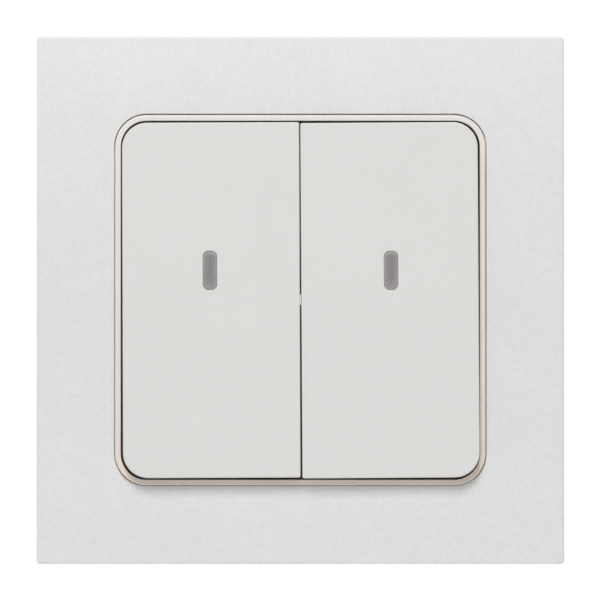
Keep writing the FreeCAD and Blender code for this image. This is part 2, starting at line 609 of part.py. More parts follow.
def make_module_housing():
    body = new_body("module_housing")
    square_layer(body, "ring", RING_HALF, "Size.ring_corner", PLATE_FRONT, RING_FRONT)
    ring_round = "min(Size.ring_round; Size.ring_wall * 0.7)"
    round_edges(body, "ring_round", in_front_plane(RING_FRONT), ring_round)
    square_layer(body, "inside", RING_INSIDE, INSIDE_CORNER, PLATE_FRONT, RING_FRONT, cut=True)
    outer_flat = f"{RING_HALF} - Size.ring_wall / 2"

    def inner_edge(edge, middle):
        inside = max(abs(middle.x), abs(middle.z)) < value(outer_flat)
        return inside and in_front_plane(RING_FRONT)(edge, middle)

    edge_round = "min(Size.ring_edge; Size.ring_wall * 0.2)"
    round_edges(body, "ring_edge", inner_edge, edge_round)

    deck_half = f"{RING_INSIDE} + Size.ring_wall / 3"
    deck_corner = f"{INSIDE_CORNER} + Size.ring_wall / 3"
    square_layer(body, "deck", deck_half, deck_corner, DECK_REAR, DECK_FRONT)
    windows = new_sketch(body, "switch_windows", offset=DECK_FRONT)
    window_half = "Size.switch_width / 2 + Size.hole_gap"
    for side, half in CORNERS:
        x = PLACE_OF_SIDE[side]
        z = times(half, "Size.arm_length")
        left, right = f"{x} - ({window_half})", f"{x} + {window_half}"
        draw_rectangle(windows, left, right, f"{z} - ({window_half})", f"{z} + {window_half}")
    pocket(body, windows, "Size.deck_wall")
    lights = new_sketch(body, "light_holes", offset=DECK_FRONT)
    for side in (LEFT, RIGHT):
        x = f"{PLACE_OF_SIDE[side]} + {LENS_SHIFT[side]}"
        draw_circle(lights, x, LIGHT_PLACE, "Size.light_hole / 2")
    pocket(body, lights, "Size.deck_wall")
    for side in (LEFT, RIGHT):
        for end in (LEFT, RIGHT):
            make_bearing_post(body, side, end)

    bosses = new_sketch(body, "bosses", offset=f"{DECK_REAR} + Size.deck_wall / 2")
    pilots = new_sketch(body, "pilots", offset=COVER_FRONT)
    seats = new_sketch(body, "board_seats", offset=f"{DECK_REAR} + Size.deck_wall / 2")
    for side, half in CORNERS:
        x, z = times(side, BOSS_PLACE), times(half, BOSS_PLACE)
        draw_circle(bosses, x, z, "Size.boss_diameter / 2")
        draw_circle(pilots, x, z, "Size.bolt_shank / 2 + Size.bolt_gap")
        pad_x, pad_z = times(side, SEAT_PLACE), times(half, "Size.pad_spread")
        pad_half = "Size.pad_width / 2"
        draw_rectangle(seats, f"{pad_x} - {pad_half}", f"{pad_x} + {pad_half}",
                       f"{pad_z} - {pad_half}", f"{pad_z} + {pad_half}")
    pad(body, bosses, f"{DECK_REAR} + Size.deck_wall / 2 - ({COVER_FRONT})", reverse=True)
    pad(body, seats, "Size.deck_wall / 2 + Size.deck_gap", reverse=True)
    pocket(body, pilots, "Size.bolt_length", reverse=True)

    catch_low = f"{PLATE_FRONT} + Size.catch_height - Size.catch_gap"
    catch_high = f"{PLATE_FRONT} + Size.arm_height + Size.catch_gap"
    for side, half in CORNERS:
        offset = times(side, RING_HALF)
        catch = new_sketch(body, f"catch_{SIDE_NAMES[side]}_{HALF_NAMES[half]}", "YZ_Plane", offset)
        z = times(half, "Size.arm_place")
        reach = "Size.hook_width / 2 + Size.hook_gap"
        draw_rectangle(catch, minus(catch_high), minus(catch_low), f"{z} - ({reach})", f"{z} + {reach}")
        pocket(body, catch, "2.4 * Size.ring_wall", middle=True)
    for plane, sign in (("YZ_Plane", LEFT), ("YZ_Plane", RIGHT), ("XY_Plane", LEFT), ("XY_Plane", RIGHT)):
        name = f"relief_{plane[:2].lower()}_{SIDE_NAMES[sign]}"
        relief = new_sketch(body, name, plane, times(sign, RING_HALF))
        half = "Size.relief_width / 2"
        low, high = "0", f"{PLATE_FRONT} + Size.relief_height"
        if plane == "YZ_Plane":
            draw_rectangle(relief, minus(high), low, minus(half), half)
        else:
            draw_rectangle(relief, minus(half), half, minus(high), low)
        pocket(body, relief, "2.4 * Size.ring_wall", middle=True)


# Rear cover of the module, with the cell's well, and the screws that hold it


def make_rear_cover():
    body = new_body("rear_cover")
    square_layer(body, "sheet", COVER_HALF, "Size.cover_corner", COVER_REAR, COVER_FRONT)
    wall = new_sketch(body, "well_wall", offset=COVER_REAR)
    draw_circle(wall, "0", "0", WELL_OUTSIDE)
    pad(body, wall, "Size.well_height")
    supports = new_sketch(body, "supports", offset=COVER_REAR)
    for x, z in ((LEFT, 0), (RIGHT, 0), (0, LOWER), (0, UPPER)):
        draw_circle(supports, times(x, SUPPORT_PLACE), times(z, SUPPORT_PLACE), "Size.support_diameter / 2")
    pad(body, supports, f"{BOARD_REAR} - ({COVER_REAR})")
    well = new_sketch(body, "well", offset=COVER_REAR)
    draw_circle(well, "0", "0", WELL_RADIUS)
    pocket(body, well, "Size.well_height", reverse=True)

    strip_slot = new_sketch(body, "contact_slot", offset=COVER_FRONT)
    slot_half = "Size.contact_width / 2 + Size.well_gap"
    draw_rectangle(strip_slot, minus(f"{WELL_OUTSIDE} + Size.well_wall"), minus(CELL_RADIUS),
                   minus(slot_half), slot_half)
    pocket(body, strip_slot, "Size.well_height", reverse=True)
    notch = new_sketch(body, "finger_notch", offset=COVER_REAR)
    draw_circle(notch, "0", minus(WELL_RADIUS), "Size.notch_width / 2")
    pocket(body, notch, "Size.cover_wall", reverse=True)

    lip = new_sketch(body, "lip", offset=COVER_REAR)
    draw_rectangle(lip, "-Size.lip_width / 2", "Size.lip_width / 2",
                   f"{CELL_RADIUS} - Size.lip_reach", f"{WELL_RADIUS} + Size.well_wall / 2")
    first_lip = pad(body, lip, "Size.well_lip")
    doc.recompute()
    lips = body.newObject("PartDesign::PolarPattern", "lips")
    lips.Originals = [first_lip]
    lips.Axis = (origin_feature(body, "Y_Axis"), [""])
    lips.Angle = 360
    lips.Occurrences = 3
    body.Tip = lips

    holes = new_sketch(body, "screw_holes", offset=COVER_REAR)
    sinks = new_sketch(body, "screw_sinks", offset=COVER_REAR)
    for side, half in CORNERS:
        x, z = times(side, BOSS_PLACE), times(half, BOSS_PLACE)
        draw_circle(holes, x, z, "Size.bolt_shank / 2 + 2 * Size.bolt_gap")
        draw_circle(sinks, x, z, "Size.bolt_head / 2 + 2 * Size.bolt_gap")
    pocket(body, holes, "Size.cover_wall", reverse=True)
    pocket(body, sinks, "Size.bolt_head_wall", reverse=True)


def make_cover_screws():
    """Four equal screws, each a turned head and shank with a cross recess, as one group."""
    screws = []
    for side, half in CORNERS:
        name = f"{SIDE_NAMES[side]}_{HALF_NAMES[half]}"
        x, z = times(side, BOSS_PLACE), times(half, BOSS_PLACE)
        head = doc.addObject("Part::Cylinder", f"screw_head_{name}")
        head.setExpression("Radius", "Size.bolt_head / 2")
        head.setExpression("Height", "Size.bolt_head_wall")
        shank = doc.addObject("Part::Cylinder", f"screw_shank_{name}")
        shank.setExpression("Radius", "Size.bolt_shank / 2")
        shank.setExpression("Height", "Size.bolt_head_wall + Size.bolt_length")
        slots = []
        for long_side, short_side in (("Length", "Width"), ("Width", "Length")):
            slot = doc.addObject("Part::Box", f"screw_slot_{long_side}_{name}".lower())
            slot.setExpression(long_side, "Size.bolt_head * 0.6")
            slot.setExpression(short_side, "Size.bolt_slot_width")
            slot.setExpression("Height", "Size.bolt_slot")
            slot.setExpression("Placement.Base.x", f"{slot.Name}.Length / -2")
            slot.setExpression("Placement.Base.y", f"{slot.Name}.Width / -2")
            slots.append(slot)
        blank = doc.addObject("Part::Fuse", f"screw_blank_{name}")
        blank.Base, blank.Tool = head, shank
        cross = doc.addObject("Part::Fuse", f"screw_cross_{name}")
        cross.Base, cross.Tool = slots
        screw = doc.addObject("Part::Cut", f"screw_{name}")
        screw.Base, screw.Tool = blank, cross
        screw.Placement = FreeCAD.Placement(FreeCAD.Vector(), FreeCAD.Rotation(X_AXIS, 90))
        screw.setExpression("Placement.Base.x", x)
        screw.setExpression("Placement.Base.y", minus(COVER_REAR))
        screw.setExpression("Placement.Base.z", z)
        screws.append(screw)
    group = doc.addObject("Part::Compound", "cover_screws")
    group.Label = "cover_screws"
    group.Links = screws
    nodes.append(group)


# Circuit board and the small parts on it


def make_circuit_board():
    body = new_body("circuit_board")
    square_layer(body, "board", BOARD_HALF, "Size.board_corner", BOARD_REAR, BOARD_FRONT)
    holes = new_sketch(body, "boss_holes", offset=BOARD_FRONT)
    for side, half in CORNERS:
        x, z = times(side, BOSS_PLACE), times(half, BOSS_PLACE)
        draw_circle(holes, x, z, "Size.boss_diameter / 2 + Size.board_gap")
    pocket(body, holes, "Size.board_wall")


def make_chip(name, x, z, width, wall):
    """A square moulded chip with a bevelled rear, soldered to the board's rear."""
    body = new_body(name)
    sketch = new_sketch(body, "outline")
    draw_square(sketch, f"{width} / 2", "Size.chip_bevel")
    pad(body, sketch, wall, reverse=True)

    def rear_edge(edge, middle):
        points = [vertex.Point for vertex in edge.Vertexes] + [middle]
        return all(is_near(point.y, wall) for point in points)

    bevel_edges(body, "bevel", rear_edge, "Size.chip_bevel")
    place(body, x, BOARD_REAR, z)


def make_crystal():
    """A small metal can on its base."""
    body = new_body("crystal")
    foot = new_sketch(body, "foot")
    length, height = "Size.crystal_length / 2", "Size.crystal_height / 2"
    draw_rectangle(foot, minus(length), length, minus(height), height)
    pad(body, foot, "Size.crystal_wall / 2", reverse=True)
    can = new_sketch(body, "can")
    inner = [f"{side} - Size.chip_bevel" for side in (length, height)]
    draw_rectangle(can, minus(inner[0]), inner[0], minus(inner[1]), inner[1], ["Size.chip_bevel * 2"] * 4)
    pad(body, can, "Size.crystal_wall", reverse=True)
    place(body, f"{BOSS_PLACE} - Size.crystal_inset", BOARD_REAR, "Size.crystal_place")


def make_small_parts(name, side, wall):
    """Five equal soldered blocks in a row on the board's rear, below the cell."""
    body = new_body(name)
    body.AllowCompound = True
    sketch = new_sketch(body, "outlines", offset=BOARD_REAR)
    z = minus(SUPPORT_PLACE)
    for step in range(-2, 3):
        x = f"{times(side, BOSS_PLACE)} / 2 + {step} * Size.small_pitch"
        draw_rectangle(sketch, f"{x} - Size.small_height / 2", f"{x} + Size.small_height / 2",
                       f"{z} - Size.small_length / 2", f"{z} + Size.small_length / 2")
    pad(body, sketch, wall, reverse=True)


def make_antenna_wire():
    """A bare aerial wire along two edges of the board, soldered at one end."""
    run = f"{BOARD_HALF} - Size.wire_inset"
    depth = f"{BOARD_REAR} - Size.wire_lift"
    body = new_body("antenna_wire")
    path = new_sketch(body, "path", offset=depth)
    reach, bend = value(run), value("Size.wire_bend")
    start_x = end_z = f"-({BOSS_PLACE}) / 2"
    corner = reach - bend
    first = Part.LineSegment(FreeCAD.Vector(value(start_x), reach, 0), FreeCAD.Vector(corner, reach, 0))
    circle = Part.Circle(FreeCAD.Vector(corner, corner, 0), Z_AXIS, bend)
    second = Part.LineSegment(FreeCAD.Vector(reach, corner, 0), FreeCAD.Vector(reach, value(end_z), 0))
    top = path.addGeometry(first, False)
    arc = path.addGeometry(Part.ArcOfCircle(circle, 0, math.pi / 2), False)
    side = path.addGeometry(second, False)
    path.addConstraint(Sketcher.Constraint("Tangent", top, 2, arc, 2))
    path.addConstraint(Sketcher.Constraint("Tangent", arc, 1, side, 1))
    path.addConstraint(Sketcher.Constraint("Horizontal", top))
    path.addConstraint(Sketcher.Constraint("Vertical", side))
    bind(path, Sketcher.Constraint("Radius", arc, bend), "Size.wire_bend")
    bind_point(path, top, 1, start_x, run)
    bind_point(path, side, 2, run, end_z)
    section = new_sketch(body, "section", "YZ_Plane", start_x)
    draw_circle(section, minus(depth), run, "Size.wire_diameter / 2")
    pipe = body.newObject("PartDesign::AdditivePipe", "wire")
    pipe.Profile = section
    pipe.Spine = path
    foot = new_sketch(body, "foot", offset=BOARD_REAR)
    draw_circle(foot, start_x, run, "Size.wire_diameter / 2")
    pad(body, foot, "Size.wire_lift", reverse=True)


def make_led(side):
    """A light source on the board's front: a flat base with a narrower clear block on it."""
    body = new_body(f"{SIDE_NAMES[side]}_led")
    base = new_sketch(body, "base")
    half_x, half_z = "Size.led_height / 2", "Size.led_width / 2"
    draw_rectangle(base, minus(half_x), half_x, minus(half_z), half_z)
    pad(body, base, "Size.led_wall")
    clear = new_sketch(body, "clear", offset="Size.led_wall")
    inner_x, inner_z = f"{half_x} * 0.9", f"{half_z} * 0.6"
    draw_rectangle(clear, minus(inner_x), inner_x, minus(inner_z), inner_z)
    pad(body, clear, "Size.led_dome")
    place(body, f"{PLACE_OF_SIDE[side]} + {LENS_SHIFT[side]}", BOARD_FRONT, LIGHT_PLACE)


# Coin cell and its two contacts


def make_coin_cell():
    """A turned can with a smaller lid towards the board."""
    body = new_body("coin_cell")
    lid = "Size.cell_lid / 2"
    shoulder = "Size.cell_wall - Size.cell_step"
    profile = [
        ("0", "0"),
        (f"{CELL_RADIUS} - Size.cell_round", "0"),
        (CELL_RADIUS, "-Size.cell_round"),
        (CELL_RADIUS, minus(f"{shoulder} - Size.cell_step")),
        (f"{CELL_RADIUS} - Size.cell_step", minus(shoulder)),
        (lid, minus(shoulder)),
        (f"{lid} - Size.cell_step", "-Size.cell_wall"),
        ("0", "-Size.cell_wall"),
    ]
    revolve(body, "profile", profile)
    place(body, "0", CELL_REAR)


def make_contacts():
    """Two bent spring strips: one beside the cell's can, one in front of its lid."""
    clip = new_body("battery_clip")
    sketch = new_sketch(clip, "profile", "XY_Plane")
    inner = f"{CELL_RADIUS} + Size.cell_gap"
    outer = f"{inner} + Size.contact_wall"
    foot = f"{outer} + Size.contact_foot"
    low = f"{COVER_FRONT} + Size.well_gap"
    foot_front = f"{BOARD_REAR} - Size.contact_wall"
    profile = [
        (inner, low),
        (inner, BOARD_REAR),
        (foot, BOARD_REAR),
        (foot, foot_front),
        (outer, foot_front),
        (outer, low),
    ]
    draw_polygon(sketch, [(minus(x), minus(depth)) for x, depth in profile])
    pad(clip, sketch, "Size.contact_width", middle=True)

    spring = new_body("contact_spring")
    sketch = new_sketch(spring, "profile", "XY_Plane")
    touch = f"{CELL_FRONT} + Size.cell_gap"
    length = "Size.contact_length"
    wall = "Size.contact_wall"
    start = "-Size.contact_foot"
    profile = [
        (start, BOARD_REAR),
        ("0", BOARD_REAR),
        (length, f"{touch} + {wall}"),
        (f"{length} + {wall}", f"{touch} + 2 * {wall}"),
        (f"{length} + 2 * {wall}", f"{touch} + {wall}"),
        (length, touch),
        ("0", f"{BOARD_REAR} - {wall}"),
        (start, f"{BOARD_REAR} - {wall}"),
    ]
    draw_polygon(sketch, [(x, minus(depth)) for x, depth in profile])
    pad(spring, sketch, "Size.contact_width", middle=True)


# Push switches: base, steel cover, plunger and soldered legs


def make_push_switch(side, half):
    name = f"{SIDE_NAMES[side]}_{HALF_NAMES[half]}"
    x = PLACE_OF_SIDE[side]
    z = times(half, "Size.arm_length")
    base_wall = "Size.switch_case - Size.switch_cover"
    flange = "Size.plunger_flange / 2"
    room = f"{flange} + Size.plunger_gap"

    base = new_body(f"{name}_switch_base")
    outline = new_sketch(base, "outline")
    draw_square(outline, "Size.switch_width / 2", "Size.cover_lip")
    pad(base, outline, base_wall)
    hollow = new_sketch(base, "hollow", offset=base_wall)
    draw_circle(hollow, "0", "0", room)
    pocket(base, hollow, "Size.plunger_wall + 2 * Size.plunger_travel + 4 * Size.plunger_gap")
    place(base, x, BOARD_FRONT, z)

    cover = new_body(f"{name}_switch_cover")
    sheet_outline = new_sketch(cover, "outline", offset=base_wall)
    draw_square(sheet_outline, "Size.switch_width / 2 - Size.cover_lip", "2 * Size.cover_lip")
    draw_circle(sheet_outline, "0", "0", "Size.plunger_diameter / 2 + Size.plunger_gap")
    pad(cover, sheet_outline, "Size.switch_cover")
    place(cover, x, BOARD_FRONT, z)

    plunger = new_body(f"{name}_plunger")
    flange_front = f"{base_wall} - Size.plunger_travel - Size.plunger_gap / 2"
    flange_rear = f"{flange_front} - Size.plunger_wall"
    top = "Size.switch_case + Size.plunger_rise"
    stem = "Size.plunger_diameter / 2"
    profile = [
        ("0", flange_rear),
        (flange, flange_rear),
        (flange, flange_front),
        (stem, flange_front),
        (stem, f"{top} - Size.plunger_gap"),
        (f"{stem} - Size.plunger_gap", top),
        ("0", top),
    ]
    revolve(plunger, "profile", [(radius, minus(depth)) for radius, depth in profile])
    place(plunger, x, BOARD_FRONT, z)


def make_switch_terminals():
    """Sixteen equal bent legs, four beside each push switch, as one group."""
    body = new_body("switch_terminals")
    body.AllowCompound = True
    inner = "Size.switch_width / 2"
    outer = f"{inner} + Size.leg_wall"
    foot = f"{inner} + Size.leg_foot"
    top = "Size.leg_foot"
    profile = [
        (inner, "0"),
        (inner, top),
        (outer, top),
        (outer, "Size.leg_wall"),
        (foot, "Size.leg_wall"),
        (foot, "0"),
    ]
    for side, half in CORNERS:
        for level in (LOWER, UPPER):
            z = f"{times(half, 'Size.arm_length')} + {times(level, 'Size.leg_pitch / 2')}"
            name = f"legs_{SIDE_NAMES[side]}_{HALF_NAMES[half]}_{HALF_NAMES[level]}"
            sketch = new_sketch(body, name, "XY_Plane", z)
            for end in (LEFT, RIGHT):
                middle = PLACE_OF_SIDE[side]
                xs = [f"{middle} + {times(end, x)}" for x, depth in profile]
                ys = [minus(f"{BOARD_FRONT} + {depth}") for x, depth in profile]
                draw_polygon(sketch, list(zip(xs, ys)))
            pad(body, sketch, "Size.leg_width", middle=True)


# Rockers, their light guides and their hinge pins. Each is drawn about its own hinge axis.


def seat_of(side):
    """Where a rocker sits: x, and the angle by which it sits crooked."""
    name = SIDE_NAMES[side]
    return f"{PLACE_OF_SIDE[side]} + Size.{name}_shift", f"Size.{name}_turn"


def rocker_outline(sketch, side, inset):
    """The cap's outline: large corners at the ring, small ones at the seam."""
    width = f"{ROCKER_HALF_WIDTH} - {inset}"
    height = f"{ROCKER_HALF_HEIGHT} - {inset}"
    large = f"Size.rocker_corner - {inset}"
    small = "Size.seam_corner"
    radii = [large, small, small, large] if side == LEFT else [small, large, large, small]
    draw_rectangle(sketch, minus(width), width, minus(height), height, radii)


def make_rocker(side):
    body = new_body(f"{SIDE_NAMES[side]}_rocker")
    outline = new_sketch(body, "outline", offset="Size.pivot_drop")
    rocker_outline(outline, side, "0")
    pad(body, outline, "Size.skirt_height", reverse=True)
    front_edge = "min(Size.rocker_edge; Size.cap_wall / 3)"
    round_edges(body, "front_edge", in_front_plane("Size.pivot_drop"), front_edge)
    hollow = new_sketch(body, "hollow", offset=minus(CAP_UNDERSIDE))
    rocker_outline(hollow, side, "Size.skirt_wall")
    pocket(body, hollow, "Size.skirt_height - Size.cap_wall")

    root = f"{CAP_UNDERSIDE} - Size.cap_wall / 3"
    grid = new_sketch(body, "stiffeners", offset=minus(root))
    edge_x = f"{ROCKER_HALF_WIDTH} - Size.skirt_wall / 2"
    edge_z = f"{ROCKER_HALF_HEIGHT} - Size.skirt_wall / 2"
    rib_half = "Size.stiffener_wall / 2"
    for level in (LOWER, UPPER):
        z = times(level, "Size.stiffener_place")
        draw_rectangle(grid, minus(edge_x), edge_x, f"{z} - {rib_half}", f"{z} + {rib_half}")
    pad(body, grid, "Size.cap_wall / 3 + Size.stiffener_height", reverse=True)
    for end in (LEFT, RIGHT):
        x = times(end, LUG_PLACE)
        rail = new_sketch(body, f"rail_{SIDE_NAMES[end]}", offset=minus(root))
        draw_rectangle(rail, f"{x} - {rib_half}", f"{x} + {rib_half}", minus(edge_z), edge_z)
        pad(body, rail, "Size.cap_wall / 3 + Size.stiffener_height", reverse=True)

    for level in (LOWER, UPPER):
        push = new_sketch(body, f"push_rib_{HALF_NAMES[level]}", "YZ_Plane")
        z = times(level, "Size.arm_length")
        half = "Size.push_wall / 2"
        tip_round = "Size.push_wall * 0.45"
        radii = ("0", tip_round, tip_round, "0")
        draw_rectangle(push, root, PUSH_TIP, f"{z} - {half}", f"{z} + {half}", radii)
        pad(body, push, "Size.push_width", middle=True)

    seat = f"{PIN_RADIUS} + Size.snap_gap"
    lug_rear = f"{seat} + Size.lug_reach"
    for end in (LEFT, RIGHT):
        x = times(end, LUG_PLACE)
        lug = new_sketch(body, f"lug_{SIDE_NAMES[end]}", "YZ_Plane", x)
        lug_half = "Size.lug_height / 2"
        lug_round = "Size.lug_height / 5"
        draw_rectangle(lug, root, lug_rear, minus(lug_half), lug_half, ("0", lug_round, lug_round, "0"))
        pad(body, lug, "Size.lug_wall", middle=True)
        bore = new_sketch(body, f"lug_seat_{SIDE_NAMES[end]}", "YZ_Plane", x)
        draw_circle(bore, "0", "0", seat)
        pocket(body, bore, "Size.lug_wall * 1.2", middle=True)
        mouth = new_sketch(body, f"lug_mouth_{SIDE_NAMES[end]}", "YZ_Plane", x)
        mouth_half = "Size.mouth_width / 2"
        draw_rectangle(mouth, "0", f"{lug_rear} + Size.lug_reach", minus(mouth_half), mouth_half)
        pocket(body, mouth, "Size.lug_wall * 1.2", middle=True)

    slot = new_sketch(body, "lens_slot", offset="Size.pivot_drop")
    half_x = "Size.lens_width / 2 + Size.lens_gap"
    half_z = "Size.lens_height / 2 + Size.lens_gap"
    corner = "Size.lens_corner + Size.lens_gap"
    low, high = f"{LENS_PLACE} - ({half_z})", f"{LENS_PLACE} + {half_z}"
    middle = LENS_SHIFT[side]
    draw_rectangle(slot, f"{middle} - ({half_x})", f"{middle} + {half_x}", low, high, [corner] * 4)
    pocket(body, slot, "Size.cap_wall")
    if side == LEFT:
        nub = new_sketch(body, "seam_nub", "YZ_Plane", f"{ROCKER_HALF_WIDTH} - Size.skirt_wall / 2")
        nub_half = "Size.nub_height / 2"
        draw_rectangle(nub, f"{CAP_FACE} + Size.nub_drop", CAP_UNDERSIDE, minus(nub_half), nub_half)
        pad(body, nub, "Size.skirt_wall / 2 + Size.nub_reach")
    x, turn = seat_of(side)
    place(body, x, PIVOT_DEPTH, turn=turn)


def make_lens(side):
    """A light guide: the window in the cap, a flange behind it and a stem towards the light source."""
    body = new_body(f"{SIDE_NAMES[side]}_lens")
    face = "Size.pivot_drop - Size.lens_inset"
    window = new_sketch(body, "window", offset=face)
    half_x, half_z = "Size.lens_width / 2", "Size.lens_height / 2"
    corners = ["Size.lens_corner"] * 4
    middle = LENS_SHIFT[side]
    low, high = f"{LENS_PLACE} - {half_z}", f"{LENS_PLACE} + {half_z}"
    draw_rectangle(window, f"{middle} - {half_x}", f"{middle} + {half_x}", low, high, corners)
    pad(body, window, "Size.cap_wall - Size.lens_inset", reverse=True)
    bevel_edges(body, "window_bevel", in_front_plane(face), "min(Size.lens_bevel; Size.lens_corner * 0.6)")
    flange = new_sketch(body, "flange", offset=minus(CAP_UNDERSIDE))
    wide_x = f"{half_x} + Size.flange_lap"
    low, high = f"{low} - Size.flange_lap", f"{high} + Size.flange_lap"
    draw_rectangle(flange, f"{middle} - ({wide_x})", f"{middle} + {wide_x}", low, high, corners)
    pad(body, flange, "Size.flange_wall", reverse=True)
    stem = new_sketch(body, "stem", offset=minus(CAP_UNDERSIDE))
    stem_x, stem_z = "Size.stem_width / 2", "Size.stem_height / 2"
    low, high = f"{LENS_PLACE} - {stem_z}", f"{LENS_PLACE} + {stem_z}"
    left, right = f"{middle} - {stem_x}", f"{middle} + {stem_x}"
    draw_rectangle(stem, left, right, low, high, ["Size.stem_width / 4"] * 4)
    pad(body, stem, f"{DECK_FROM_PIVOT} - Size.stem_gap - ({CAP_UNDERSIDE})", reverse=True)
    x, turn = seat_of(side)
    place(body, x, PIVOT_DEPTH, turn=turn)


def make_hinge_pin(side):
    """A turned pin, thicker between the posts so that it can't slide out of them."""
    body = new_body(f"{SIDE_NAMES[side]}_hinge_pin")
    sketch = new_sketch(body, "profile", "XY_Plane")
    shoulder = f"{POST_PLACE} - Size.post_wall / 2 - 2 * Size.bearing_gap"
    thick = "Size.pin_middle / 2"
    tip = "Size.bearing_gap * 2"
    profile = [
        (minus(PIN_HALF), "0"),
        (minus(PIN_HALF), f"{PIN_RADIUS} - {tip}"),
        (f"{minus(PIN_HALF)} + {tip}", PIN_RADIUS),
        (minus(shoulder), PIN_RADIUS),
        (minus(shoulder), thick),
        (shoulder, thick),
        (shoulder, PIN_RADIUS),
        (f"{PIN_HALF} - {tip}", PIN_RADIUS),
        (PIN_HALF, f"{PIN_RADIUS} - {tip}"),
        (PIN_HALF, "0"),
    ]
    draw_polygon(sketch, profile)
    turned = body.newObject("PartDesign::Revolution", "turned")
    turned.Profile = sketch
    turned.ReferenceAxis = (sketch, ["H_Axis"])
    turned.Angle = 360
    place(body, PLACE_OF_SIDE[side], PIVOT_DEPTH)


make_cover_frame()
make_mounting_plate()
make_module_housing()
make_rear_cover()
make_cover_screws()
make_circuit_board()
make_coin_cell()
make_contacts()
for side in (LEFT, RIGHT):
    for half in (UPPER, LOWER):
        make_push_switch(side, half)
make_switch_terminals()
for side in (LEFT, RIGHT):
    make_led(side)
    make_rocker(side)
    make_lens(side)
    make_hinge_pin(side)
radio_place = f"{BOSS_PLACE} - Size.radio_inset"
make_chip("radio_chip", radio_place, radio_place, "Size.radio_width", "Size.radio_wall")
make_chip("control_chip", minus(BOSS_PLACE), "Size.control_place", "Size.control_width", "Size.control_wall")
make_crystal()
make_small_parts("capacitors", LEFT, "Size.capacitor_wall")
make_small_parts("resistors", RIGHT, "Size.resistor_wall")
make_antenna_wire()

doc.recompute()
for item in doc.Objects:
    faults = [state for state in item.State if state in ("Invalid", "Error")]
    assert not faults, f"{item.Label} is {faults}"
for node in nodes:
    assert not node.Shape.isNull(), f"{node.Label} is empty"
    assert node.Shape.isValid(), f"{node.Label} is not valid"

os.makedirs("parts", exist_ok=True)
for node in nodes:
    node.Shape.exportStep(f"parts/{node.Label}.step")
    box = node.Shape.BoundBox
    width, depth, height = box.XLength, box.YLength, box.ZLength
    size = f"{width:.2f} x {depth:.2f} x {height:.2f} mm"
    print(f"{node.Label}: {len(node.Shape.Solids)} solid, {node.Shape.Volume:.2f} mm3, {size}")
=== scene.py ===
"""A flat square wall switch with two rockers, dressed for a studio picture.

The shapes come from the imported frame, in metres: X to the right, Z up, Y into the wall, the origin at the
centre of the wall plate's back. This script adds the finishes, a thin lip in the gap round the ring, the
stage and the camera.
"""

import json
import math

import bmesh
import bpy
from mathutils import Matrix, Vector


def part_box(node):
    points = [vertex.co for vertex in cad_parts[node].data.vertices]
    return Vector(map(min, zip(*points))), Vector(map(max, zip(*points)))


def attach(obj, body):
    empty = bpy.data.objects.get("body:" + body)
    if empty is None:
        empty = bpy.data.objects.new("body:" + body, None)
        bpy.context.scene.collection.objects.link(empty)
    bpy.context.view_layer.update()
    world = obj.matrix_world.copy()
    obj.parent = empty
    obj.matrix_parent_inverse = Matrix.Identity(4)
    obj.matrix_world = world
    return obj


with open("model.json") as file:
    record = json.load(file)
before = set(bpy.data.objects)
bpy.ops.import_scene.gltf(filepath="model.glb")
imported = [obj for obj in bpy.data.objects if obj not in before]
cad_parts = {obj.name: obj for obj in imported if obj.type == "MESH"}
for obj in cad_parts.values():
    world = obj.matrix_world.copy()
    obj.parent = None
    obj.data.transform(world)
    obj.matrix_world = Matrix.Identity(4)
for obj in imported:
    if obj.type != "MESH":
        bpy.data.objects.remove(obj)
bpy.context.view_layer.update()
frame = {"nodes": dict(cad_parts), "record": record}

MM = 0.001
WHITE = (1.0, 1.0, 1.0)
NODES = frame["nodes"]

# Where most of a noise's values lie, from 0 to 1.
NOISE_LOW = 0.3
NOISE_HIGH = 0.7

# The object's own places.
FRAME_WIDTH = 80.0 * MM
FRAME_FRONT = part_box("cover_frame")[0].y
RING_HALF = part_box("module_housing")[1].x
RING_CORNER = 4.75 * MM
WINDOW_GAP = 0.2 * MM
WINDOW_LIFT = 0.08 * MM
DECK_Y = -8.5 * MM

# Painted light and shade on the walls of the gaps: a warm painted shade within the ring, a pale painted
# light between ring and frame.
PAINTED_GAP_WARM_SHADE = (0.88, 0.60, 0.44)
PAINTED_GAP_LIGHT = (1.22, 1.17, 1.13)


def grey(level):
    return (level, level, level)


def shade(color, factor):
    return tuple(channel * factor for channel in color)


def math_node(tree, operation, *values):
    """The result of a Math node fed with numbers or with other nodes' results."""
    node = tree.nodes.new("ShaderNodeMath")
    node.operation = operation
    for socket, value in zip(node.inputs, values):
        if isinstance(value, (int, float)):
            socket.default_value = value
        else:
            tree.links.new(value, socket)
    return node.outputs["Value"]


def link_object(obj):
    bpy.context.scene.collection.objects.link(obj)


